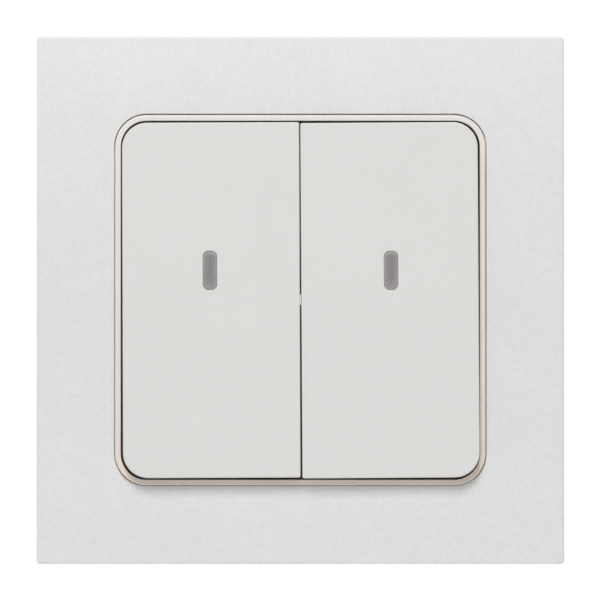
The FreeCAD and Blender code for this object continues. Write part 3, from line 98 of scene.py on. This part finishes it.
class Finish:
    """A procedural material, built up node by node around one principled shader."""

    def __init__(self, name, color, roughness, metallic=0.0):
        self.material = bpy.data.materials.new(name)
        self.material.use_nodes = True
        self.material.diffuse_color = (*color, 1.0)
        self.tree = self.material.node_tree
        self.nodes = self.tree.nodes
        self.shader = self.nodes["Principled BSDF"]
        self.shader.inputs["Base Color"].default_value = (*color, 1.0)
        self.shader.inputs["Roughness"].default_value = roughness
        self.shader.inputs["Metallic"].default_value = metallic
        self.place = self.nodes.new("ShaderNodeTexCoord").outputs["Object"]
        self.relief = None

    def set(self, **values):
        """Sets the shader's own sockets, with _ for each space of a socket's name."""
        for name, value in values.items():
            self.shader.inputs[name.replace("_", " ")].default_value = value

    def link(self, source, target):
        self.tree.links.new(source, target)

    def math(self, operation, *values):
        return math_node(self.tree, operation, *values)

    def axis(self, index, origin=0.0):
        """One coordinate of the surface point in metres, counted from `origin`."""
        split = self.nodes.new("ShaderNodeSeparateXYZ")
        self.link(self.place, split.inputs["Vector"])
        return self.math("SUBTRACT", split.outputs[index], origin)

    def along(self, index, start, end):
        """How far the surface point is from one coordinate, 0, to another, 1."""
        return self.math("MULTIPLY", self.axis(index, start), 1.0 / (end - start))

    def stretched(self, scale):
        """The surface point with its coordinates multiplied."""
        node = self.nodes.new("ShaderNodeMapping")
        node.inputs["Scale"].default_value = scale
        self.link(self.place, node.inputs["Vector"])
        return node.outputs["Vector"]

    def noise(self, size, detail=2.0, roughness=0.5, vector=None):
        """Noise from 0 to 1 whose lumps are about `size` metres across."""
        node = self.nodes.new("ShaderNodeTexNoise")
        node.inputs["Scale"].default_value = 1.0 / size
        node.inputs["Detail"].default_value = detail
        node.inputs["Roughness"].default_value = roughness
        self.link(vector or self.place, node.inputs["Vector"])
        return node.outputs["Fac"]

    def cell_borders(self, size, randomness, vector):
        """Distance from the borders of cells that are about `size` metres across."""
        node = self.nodes.new("ShaderNodeTexVoronoi")
        node.feature = "DISTANCE_TO_EDGE"
        node.inputs["Scale"].default_value = 1.0 / size
        node.inputs["Randomness"].default_value = randomness
        self.link(vector, node.inputs["Vector"])
        return node.outputs["Distance"]

    def hypotenuse(self, first, second):
        squares = [self.math("MULTIPLY", side, side) for side in (first, second)]
        return self.math("SQRT", self.math("ADD", *squares))

    def inside_distance(self, middle, half_width, half_height, radius):
        """How far inside a rounded rectangle of the front view a point lies, all in metres."""
        beside = self.math("SUBTRACT", self.math("ABSOLUTE", self.axis(0, middle.x)), half_width - radius)
        above = self.math("SUBTRACT", self.math("ABSOLUTE", self.axis(2, middle.z)), half_height - radius)
        corner = self.hypotenuse(self.math("MAXIMUM", beside, 0.0), self.math("MAXIMUM", above, 0.0))
        flank = self.math("MINIMUM", self.math("MAXIMUM", beside, above), 0.0)
        return self.math("SUBTRACT", radius, self.math("ADD", corner, flank))

    def span(self, value, low, high, out_low=0.0, out_high=1.0):
        """Maps a value between two limits on to two others, and stops at them."""
        node = self.nodes.new("ShaderNodeMapRange")
        limits = (("From Min", low), ("From Max", high), ("To Min", out_low), ("To Max", out_high))
        for name, number in limits:
            node.inputs[name].default_value = number
        self.link(value, node.inputs["Value"])
        return node.outputs["Result"]

    def ramp(self, value, *stops):
        """Colours along a value: each stop is (place, colour)."""
        node = self.nodes.new("ShaderNodeValToRGB")
        elements = node.color_ramp.elements
        for _ in stops[2:]:
            elements.new(0.5)
        for element, (place, color) in zip(elements, stops):
            element.position = place
            element.color = (*color, 1.0)
        self.link(value, node.inputs["Fac"])
        return node.outputs["Color"]

    def clouds(self, noise, dark, light):
        """Two colours on the low and the high values of a noise."""
        return self.ramp(noise, (NOISE_LOW, dark), (NOISE_HIGH, light))

    def blend(self, factor, first, second, mode="MIX"):
        node = self.nodes.new("ShaderNodeMix")
        node.data_type = "RGBA"
        node.blend_type = mode
        factor_socket, first_socket, second_socket = node.inputs[0], node.inputs[6], node.inputs[7]
        for socket, value in ((factor_socket, factor), (first_socket, first), (second_socket, second)):
            if isinstance(value, (int, float)):
                socket.default_value = value
            elif isinstance(value, tuple):
                socket.default_value = (*value, 1.0)
            else:
                self.link(value, socket)
        color_result = node.outputs[2]
        return color_result

    def color(self, value):
        self.link(value, self.shader.inputs["Base Color"])

    def tint(self, factor, color):
        """Multiplies the colour so far by another, as far as the factor goes from 0 to 1."""
        so_far = self.shader.inputs["Base Color"].links[0].from_socket
        self.color(self.blend(factor, so_far, color, "MULTIPLY"))

    def rough(self, value, smooth, dull, low=NOISE_LOW, high=NOISE_HIGH):
        """Spreads the roughness from smooth to dull while a value goes from low to high."""
        self.link(self.span(value, low, high, smooth, dull), self.shader.inputs["Roughness"])

    def bump(self, value, depth, strength=1.0):
        """Adds a relief `depth` metres deep on top of those already there."""
        node = self.nodes.new("ShaderNodeBump")
        node.inputs["Distance"].default_value = depth
        node.inputs["Strength"].default_value = strength
        self.link(value, node.inputs["Height"])
        if self.relief:
            self.link(self.relief, node.inputs["Normal"])
        self.relief = node.outputs["Normal"]
        self.link(self.relief, self.shader.inputs["Normal"])


# Finishes, one maker for each kind of material.

def moulded_plastic(name, color, roughness, grain, grain_depth, drift=0.02):
    """Moulded plastic: a spark-eroded grain, faint flow clouds in the colour, and uneven sheen."""
    finish = Finish(name, color, roughness)
    finish.set(IOR=1.47, Specular_IOR_Level=0.4)
    flow = finish.noise(14.0 * MM, detail=3.0)
    specks = finish.noise(grain * 1.6, detail=2.0, roughness=0.6)
    flow_color = finish.clouds(flow, shade(color, 1.0 - drift), shade(color, 1.0 + drift))
    speck_color = finish.clouds(specks, grey(0.955), WHITE)
    finish.color(finish.blend(0.5, flow_color, speck_color, "MULTIPLY"))
    finish.rough(finish.noise(grain * 3.0, detail=3.0), roughness - 0.05, roughness + 0.06)
    sink_waves = finish.noise(22.0 * MM, detail=1.0)
    finish.bump(sink_waves, 0.05 * MM, strength=0.35)
    finish.bump(finish.noise(grain, detail=2.0, roughness=0.65), grain_depth)
    return finish


def marked_plastic(name, color, roughness, grain, grain_depth, mark_place, mark_radius):
    """Moulded plastic with four shallow round marks of the mould's pins, one in each quarter."""
    mark_depth = 0.03 * MM
    mark_edge = 0.06 * MM
    finish = moulded_plastic(name, color, roughness, grain, grain_depth)
    x, z = mark_place
    beside = finish.math("SUBTRACT", finish.math("ABSOLUTE", finish.axis(0)), x)
    above = finish.math("SUBTRACT", finish.math("ABSOLUTE", finish.axis(2)), z)
    away = finish.hypotenuse(beside, above)
    finish.bump(finish.span(away, mark_radius - mark_edge, mark_radius + mark_edge), mark_depth)
    return finish


def brushed_metal(name, color, roughness, stretch=(1.0, 1.0, 12.0), line=0.06 * MM):
    """Drawn or rolled strip: fine lines along one way, with a duller cloud here and there."""
    line_low = 0.25
    line_high = 0.75
    finish = Finish(name, color, roughness, metallic=1.0)
    finish.set(Anisotropic=0.25)
    lines = finish.noise(line * 12.0, detail=4.0, roughness=0.7, vector=finish.stretched(stretch))
    dull = finish.noise(3.0 * MM, detail=3.0)
    dull_color = finish.clouds(dull, shade(color, 0.92), shade(color, 1.05))
    line_color = finish.ramp(lines, (line_low, grey(0.84)), (line_high, WHITE))
    finish.color(finish.blend(0.6, dull_color, line_color, "MULTIPLY"))
    finish.rough(lines, roughness - 0.06, roughness + 0.12, line_low, line_high)
    finish.bump(lines, 0.002 * MM)
    return finish


def screw_steel():
    """Zinc plated steel of the cover screws, with painted shade darkening it down in the cross recess."""
    finish = brushed_metal("screw_steel", (0.50, 0.50, 0.51), 0.28)
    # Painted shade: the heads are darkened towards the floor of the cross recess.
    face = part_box("cover_screws")[1].y
    height = finish.along(1, face - 0.35 * MM, face - 0.05 * MM)
    finish.tint(1.0, finish.ramp(height, (0.0, grey(0.22)), (1.0, WHITE)))
    return finish


def cell_steel():
    """Pressed steel can of the coin cell: rings from polishing, and a fine sanded face."""
    color = (0.46, 0.46, 0.455)
    pattern_low = 0.5
    pattern_high = 1.2
    finish = Finish("cell_steel", color, 0.27, metallic=1.0)
    outward = finish.nodes.new("ShaderNodeCombineXYZ")
    finish.link(finish.hypotenuse(finish.axis(0), finish.axis(2)), outward.inputs["X"])
    rings = finish.noise(0.7 * MM, detail=2.0, vector=outward.outputs["Vector"])
    wander = finish.noise(4.0 * MM, detail=2.0)
    sanding = finish.noise(0.12 * MM, detail=3.0, roughness=0.7)
    pattern = finish.math("MULTIPLY_ADD", rings, 0.5, finish.math("MULTIPLY_ADD", sanding, 0.3, wander))
    finish.color(finish.ramp(pattern, (pattern_low, shade(color, 0.93)), (1.0, shade(color, 1.04))))
    finish.rough(pattern, 0.22, 0.34, pattern_low, pattern_high)
    finish.bump(rings, 0.002 * MM)
    finish.bump(sanding, 0.0006 * MM)
    return finish


def solder_resist():
    """Green board lacquer over copper: the traces stand up under it, and the glass weave shows faintly."""
    green = (0.028, 0.15, 0.065)
    over_copper = (0.045, 0.22, 0.09)
    trace_pitch = 2.2 * MM
    weave_pitch = 0.45 * MM
    weave_radian = weave_pitch / (2.0 * math.pi)
    finish = Finish("board_green", green, 0.3)
    finish.set(Coat_Weight=0.35, Coat_Roughness=0.12)
    grid = finish.cell_borders(trace_pitch, randomness=0.35, vector=finish.stretched((1.0, 0.0, 1.0)))
    traces = finish.span(grid, 0.05, 0.075, 1.0, 0.0)
    threads = [finish.math("SINE", finish.along(index, 0.0, weave_radian)) for index in (0, 2)]
    weave = finish.math("MULTIPLY", *threads)
    base = finish.clouds(finish.noise(5.0 * MM), shade(green, 0.85), shade(green, 1.12))
    finish.color(finish.blend(traces, base, over_copper))
    finish.rough(finish.noise(0.8 * MM, detail=3.0), 0.24, 0.38)
    finish.bump(weave, 0.004 * MM, strength=0.5)
    finish.bump(traces, 0.03 * MM, strength=0.7)
    return finish


def window_grey(side):
    """Smoky light guide: dark core, with painted light on its paler flank and outer edge, a painted
    highlight inside its upper end, mottled low down.

    Distances within the window are in millimetres, from its outline or from its middle.
    """
    core = (0.196, 0.194, 0.195)
    painted_flank_light = (0.262, 0.240, 0.236)
    painted_rim_light = (0.46, 0.44, 0.425)
    glint = (0.40, 0.385, 0.38)
    foot = (0.34, 0.33, 0.325)
    half_width = 1.05 * MM
    half_height = 2.925 * MM
    corner = 0.85 * MM
    waver = 0.16
    band_to_core = (0.15, 0.95)
    foot_fade = (-2.7, -1.2)
    foot_strength = 0.62
    glint_inset = 0.33
    glint_fade = (0.04, 0.16)
    glint_start = (2.0, 2.4)
    glint_strength = 0.7
    rim_fade = (0.13, 0.19)
    low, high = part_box(f"{side}_lens")
    middle = (low + high) * 0.5
    finish = Finish(f"lens_grey_{side}", core, 0.28)
    finish.set(IOR=1.49, Specular_IOR_Level=0.5, Coat_Weight=0.2, Coat_Roughness=0.12)
    inside = finish.math("DIVIDE", finish.inside_distance(middle, half_width, half_height, corner), MM)
    above = finish.math("DIVIDE", finish.axis(2, middle.z), MM)

    # Painted light: the flank near the outline is paler than the core, as if the bevel caught the light.
    swirl = finish.noise(1.2 * MM, detail=2.0)
    wavering = finish.math("MULTIPLY_ADD", swirl, waver, finish.math("SUBTRACT", inside, waver / 2.0))
    color = finish.blend(finish.span(wavering, *band_to_core), painted_flank_light, core)

    low_down = finish.span(above, *foot_fade, 1.0, 0.0)
    lumps = finish.span(finish.noise(0.45 * MM, detail=3.0), 0.38, 0.64, 0.25, 1.0)
    mottle = finish.math("MULTIPLY", low_down, lumps)
    color = finish.blend(finish.math("MULTIPLY", mottle, foot_strength), color, foot)

    # Painted highlight: a pale arc just inside the outline at the upper end.
    off_line = finish.math("ABSOLUTE", finish.math("SUBTRACT", inside, glint_inset))
    on_line = finish.span(off_line, *glint_fade, 1.0, 0.0)
    arc = finish.math("MULTIPLY", on_line, finish.span(above, *glint_start))
    color = finish.blend(finish.math("MULTIPLY", arc, glint_strength), color, glint)

    # Painted light: the very outline is made paler, lightening the edge that lies in shade down in its
    # hole.
    finish.color(finish.blend(finish.span(inside, *rim_fade, 1.0, 0.0), color, painted_rim_light))
    finish.rough(finish.noise(0.35 * MM, detail=2.0), 0.24, 0.36)
    finish.bump(finish.noise(0.3 * MM, detail=2.0), 0.002 * MM)
    return finish


def chip_resin(name, color, roughness):
    """Filled black resin: sugar-fine sparkle and a matte skin."""
    finish = Finish(name, color, roughness)
    finish.set(Specular_IOR_Level=0.45)
    grain = finish.noise(0.09 * MM, detail=3.0, roughness=0.7)
    finish.color(finish.ramp(grain, (0.35, shade(color, 0.8)), (0.75, shade(color, 1.5))))
    finish.rough(grain, roughness - 0.08, roughness + 0.1)
    finish.bump(grain, 0.006 * MM)
    return finish


def capacitor_body():
    """Sintered ceramic of the small chips."""
    tan = (0.43, 0.31, 0.19)
    finish = Finish("capacitor_tan", tan, 0.42)
    grain = finish.noise(0.12 * MM, detail=3.0, roughness=0.7)
    finish.color(finish.clouds(grain, shade(tan, 0.86), shade(tan, 1.12)))
    finish.rough(grain, 0.34, 0.5)
    finish.bump(grain, 0.004 * MM)
    return finish


def clear_resin():
    """Lamp body under each light window: pale cloudy resin."""
    color = (0.74, 0.74, 0.66)
    finish = Finish("led_clear", color, 0.15)
    finish.set(Coat_Weight=0.4, Coat_Roughness=0.06, Subsurface_Weight=0.2)
    swirl = finish.noise(0.5 * MM, detail=2.0)
    finish.color(finish.clouds(swirl, shade(color, 0.93), shade(color, 1.04)))
    finish.rough(swirl, 0.1, 0.22)
    finish.bump(swirl, 0.004 * MM)
    return finish


def inside_ring(finish):
    """How far inside the ring's outer wall a point lies."""
    return finish.inside_distance(Vector((0.0, 0.0, 0.0)), RING_HALF, RING_HALF, RING_CORNER)


def down_in_gap(finish, front):
    """1 on the walls of the gaps from just behind `front` to the module's deck, and 0 elsewhere."""
    front_fade = 0.6 * MM
    deck_fade = 0.4 * MM
    behind_front = finish.span(finish.axis(1), front, front + front_fade)
    before_deck = finish.span(finish.axis(1), DECK_Y, DECK_Y + deck_fade, 1.0, 0.0)
    return finish.math("MULTIPLY", behind_front, before_deck)


def frame_plastic():
    """Pearl-grained plastic of the cover frame, with painted light: lighter towards its upper part, a
    painted highlight along its lower edge, and a pale painted light on the gap walls beside the ring.
    """
    half = FRAME_WIDTH / 2.0
    finish = moulded_plastic("frame_white", (0.750, 0.750, 0.748), 0.50, 0.3 * MM, 0.016 * MM, drift=0.012)
    # Painted light: a colour ramp makes the frame lighter towards its top, where the light falls more
    # strongly.
    height = finish.along(2, -half, half)
    finish.tint(1.0, finish.ramp(height, (0.0, grey(0.946)), (0.5, grey(0.932)), (0.75, grey(0.954)),
                                 (0.975, WHITE)))
    pearl = finish.noise(0.6 * MM, detail=2.0, roughness=0.6)
    finish.tint(1.0, finish.clouds(pearl, grey(0.972), grey(1.028)))
    # Painted highlight: the rounded lower front edge is made lighter, as if it caught light from below.
    low_down = finish.span(finish.axis(2), -half + 0.25 * MM, -half + 0.05 * MM)
    near_front = finish.span(finish.axis(1), -12.4 * MM, -12.7 * MM)
    finish.tint(finish.math("MULTIPLY", low_down, near_front), grey(1.20))
    # Painted light: the frame's walls down in the gap beside the ring are made paler.
    beside_ring = finish.span(inside_ring(finish), -1.0 * MM, -0.7 * MM)
    deep = down_in_gap(finish, front=-12.8 * MM)
    finish.tint(finish.math("MULTIPLY", beside_ring, deep), PAINTED_GAP_LIGHT)
    return finish


def ring_plastic():
    """Cream plastic of the module, with painted light and shade: paler towards the top of the ring, a warm
    painted shade low down, and painted light and shade on the walls of the gaps.
    """
    half = 28.0 * MM
    finish = moulded_plastic("ring_white", (0.80, 0.765, 0.735), 0.32, 0.2 * MM, 0.004 * MM)
    # Painted light and shade: a colour ramp makes the ring paler towards its top and darker and warmer
    # towards its bottom.
    height = finish.along(2, -half, half)
    finish.tint(1.0, finish.ramp(height, (0.0, (0.900, 0.835, 0.775)), (0.15, (0.930, 0.900, 0.880)),
                                 (0.85, (0.940, 0.922, 0.912)), (1.0, WHITE)))
    # Painted light on the ring's outer wall in the gap by the frame, and a warm painted shade on its inner
    # walls in the gaps by the rockers.
    deep = down_in_gap(finish, front=-13.1 * MM)
    inner = finish.span(inside_ring(finish), 0.3 * MM, 0.5 * MM)
    outer = finish.math("SUBTRACT", 1.0, inner)
    finish.tint(finish.math("MULTIPLY", deep, outer), PAINTED_GAP_LIGHT)
    finish.tint(finish.math("MULTIPLY", deep, inner), PAINTED_GAP_WARM_SHADE)
    return finish


def rocker_plastic():
    """Smooth plastic of the rockers, with a warm painted shade on the part of their sides that stays down
    in the gaps.
    """
    color = (0.692, 0.691, 0.676)
    finish = moulded_plastic("rocker_white", color, 0.40, 0.22 * MM, 0.004 * MM, drift=0.008)
    # Painted shade: the rockers' sides down in the gaps are darkened and warmed.
    finish.tint(down_in_gap(finish, front=-12.5 * MM), PAINTED_GAP_WARM_SHADE)
    return finish


FINISHES = {
    "frame_white": frame_plastic(),
    "ring_white": ring_plastic(),
    "rocker_white": rocker_plastic(),
    "plate_grey": marked_plastic("plate_grey", (0.55, 0.55, 0.54), 0.5, 0.35 * MM, 0.012 * MM,
                                 mark_place=(30.0 * MM, 13.0 * MM), mark_radius=1.5 * MM),
    "cover_white": marked_plastic("cover_white", (0.66, 0.66, 0.65), 0.48, 0.3 * MM, 0.01 * MM,
                                  mark_place=(17.0 * MM, 8.0 * MM), mark_radius=1.25 * MM),
    "steel": brushed_metal("steel", (0.50, 0.50, 0.51), 0.30),
    "spring_steel": brushed_metal("spring_steel", (0.54, 0.525, 0.49), 0.26, stretch=(12.0, 1.0, 1.0)),
    "cell_steel": cell_steel(),
    "tin": brushed_metal("tin", (0.62, 0.62, 0.62), 0.34, line=0.12 * MM),
    "copper": brushed_metal("copper", (0.72, 0.43, 0.26), 0.30, stretch=(1.0, 12.0, 1.0)),
    "board_green": solder_resist(),
    "chip_black": chip_resin("chip_black", (0.03, 0.03, 0.03), 0.55),
    "switch_black": chip_resin("switch_black", (0.025, 0.025, 0.026), 0.48),
    "plunger_black": chip_resin("plunger_black", (0.04, 0.04, 0.04), 0.40),
    "capacitor_tan": capacitor_body(),
    "led_clear": clear_resin(),
}

# These nodes have a finish of their own in place of their slot's.
NODE_FINISHES = {
    "cover_screws": screw_steel(),
    "left_lens": window_grey("left"),
    "right_lens": window_grey("right"),
}

for part in frame["record"]["subparts"]:
    name = part["node"]
    finish = NODE_FINISHES[name] if name in NODE_FINISHES else FINISHES[part["material_slot"]]
    materials = NODES[name].data.materials
    materials.clear()
    materials.append(finish.material)


# The lip in the gap round the ring.

def outline(half, radius, lift, y):
    """Points along a rounded square in a plane of constant y, `lift` above the middle."""
    steps = 12
    points = []
    for corner, (x_sign, z_sign) in enumerate(((1, 1), (-1, 1), (-1, -1), (1, -1))):
        for step in range(steps + 1):
            angle = math.radians(90.0 * (corner + step / steps))
            x = x_sign * (half - radius) + radius * math.cos(angle)
            z = z_sign * (half - radius) + radius * math.sin(angle)
            points.append((x, y, z + lift))
    return points


def make_ring_lip():
    """The module's thin lip that closes the gap round the ring, a little behind the frame's front."""
    overlap = 0.05 * MM
    clearance = 0.01 * MM
    drop = 0.85 * MM
    wall = 0.5 * MM
    reach = WINDOW_GAP - clearance
    front = FRAME_FRONT + drop
    rear = front + wall
    inner = (RING_HALF - overlap, RING_CORNER - overlap, 0.0)
    outer = (RING_HALF + reach, RING_CORNER + reach, WINDOW_LIFT)
    loops = [outline(*inner, front), outline(*outer, front), outline(*outer, rear), outline(*inner, rear)]
    lip = bmesh.new()
    rows = [[lip.verts.new(point) for point in loop] for loop in loops]
    count = len(rows[0])
    for first, second in zip(rows, rows[1:] + rows[:1]):
        for place in range(count):
            after = (place + 1) % count
            lip.faces.new((first[place], first[after], second[after], second[place]))
    bmesh.ops.recalc_face_normals(lip, faces=lip.faces)
    mesh = bpy.data.meshes.new("ring_lip")
    lip.to_mesh(mesh)
    lip.free()
    mesh.materials.append(FINISHES["ring_white"].material)
    piece = bpy.data.objects.new("ring_lip", mesh)
    link_object(piece)
    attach(piece, "root")


make_ring_lip()


# The stage: floor, world, lamps and camera.

FLOOR_Z = -0.12
FLOOR_HALF = 0.8
FLOOR_PALE_NEAR = 0.16
FLOOR_PALE_FAR = 0.42
AMBIENT = 0.19

# Each lamp: name, place, side of its square in metres, watts. All of them face the origin.
LAMPS = (
    ("key", (-0.13, -0.79, 0.88), 0.42, 11.2),
    ("back", (0.35, 0.95, 0.60), 0.8, 6.5),
    ("right", (0.86, 0.34, 0.24), 0.4, 1.7),
    ("left", (-0.86, 0.34, 0.28), 0.4, 2.2),
)


def make_floor():
    """A pale floor below the hanging switch, with its shadow.

    Far out it fades to plain white for the eye and for mirrors, and from below the eye looks through it.
    """
    mesh = bpy.data.meshes.new("stage_floor")
    corners = [(x * FLOOR_HALF, y * FLOOR_HALF, FLOOR_Z) for x, y in ((-1, -1), (1, -1), (1, 1), (-1, 1))]
    mesh.from_pydata(corners, [], [(0, 1, 2, 3)])
    floor = bpy.data.objects.new("stage_floor", mesh)
    link_object(floor)
    finish = Finish("stage_floor", (0.9, 0.9, 0.9), 0.9)
    finish.set(Specular_IOR_Level=0.0)
    white = finish.nodes.new("ShaderNodeEmission")
    clear = finish.nodes.new("ShaderNodeBsdfTransparent")
    from_above = finish.nodes.new("ShaderNodeMixShader")
    shown = finish.nodes.new("ShaderNodeMixShader")
    rays = finish.nodes.new("ShaderNodeLightPath").outputs
    underside = finish.nodes.new("ShaderNodeNewGeometry").outputs["Backfacing"]
    away = finish.hypotenuse(finish.axis(0), finish.axis(1))
    far = finish.span(away, FLOOR_PALE_NEAR, FLOOR_PALE_FAR)
    seen = finish.math("MAXIMUM", rays["Is Camera Ray"], rays["Is Glossy Ray"])
    finish.link(finish.math("MULTIPLY", far, seen), from_above.inputs["Fac"])
    finish.link(finish.shader.outputs["BSDF"], from_above.inputs[1])
    finish.link(white.outputs["Emission"], from_above.inputs[2])
    finish.link(finish.math("MULTIPLY", underside, rays["Is Camera Ray"]), shown.inputs["Fac"])
    finish.link(from_above.outputs["Shader"], shown.inputs[1])
    finish.link(clear.outputs["BSDF"], shown.inputs[2])
    finish.link(shown.outputs["Shader"], finish.nodes["Material Output"].inputs["Surface"])
    mesh.materials.append(finish.material)


def make_world():
    """White where it is seen, mirrored or looked through, and a softer level where it lights."""
    world = bpy.data.worlds.new("studio")
    bpy.context.scene.world = world
    world.use_nodes = True
    tree = world.node_tree
    background = tree.nodes["Background"]
    background.inputs["Color"].default_value = (*WHITE, 1.0)
    rays = tree.nodes.new("ShaderNodeLightPath").outputs
    seen = math_node(tree, "MAXIMUM", rays["Is Camera Ray"], rays["Is Glossy Ray"])
    seen = math_node(tree, "MAXIMUM", seen, rays["Is Transmission Ray"])
    strength = math_node(tree, "ADD", math_node(tree, "MULTIPLY", seen, 1.0 - AMBIENT), AMBIENT)
    tree.links.new(strength, background.inputs["Strength"])


def make_lamp(name, place, size, watts):
    light = bpy.data.lights.new(name, "AREA")
    light.shape = "SQUARE"
    light.size = size
    light.energy = watts
    lamp = bpy.data.objects.new(name, light)
    lamp.location = place
    lamp.rotation_euler = (-Vector(place)).to_track_quat("-Z", "Y").to_euler()
    link_object(lamp)


def make_camera():
    """A long lens square on to the switch, a little below its middle."""
    picture_pixels = 600.0
    frame_pixels = 527.5
    lens = 250.0
    sensor = 36.0
    elevation = math.radians(-0.6)
    camera_front = -12.9 * MM
    distance = FRAME_WIDTH * picture_pixels / frame_pixels * lens / sensor
    camera = bpy.data.cameras.new("camera")
    camera.lens = lens
    camera.sensor_width = sensor
    camera.shift_x = -0.0005
    camera.shift_y = 0.0004
    camera.clip_start = 0.05
    camera.clip_end = 10.0
    view = bpy.data.objects.new("camera", camera)
    view.location = (0.0, camera_front - distance * math.cos(elevation), distance * math.sin(elevation))
    view.rotation_euler = (math.radians(90.0) - elevation, 0.0, 0.0)
    link_object(view)
    bpy.context.scene.camera = view


make_floor()
make_world()
for lamp in LAMPS:
    make_lamp(*lamp)
make_camera()

bpy.context.scene.view_settings.view_transform = "Standard"
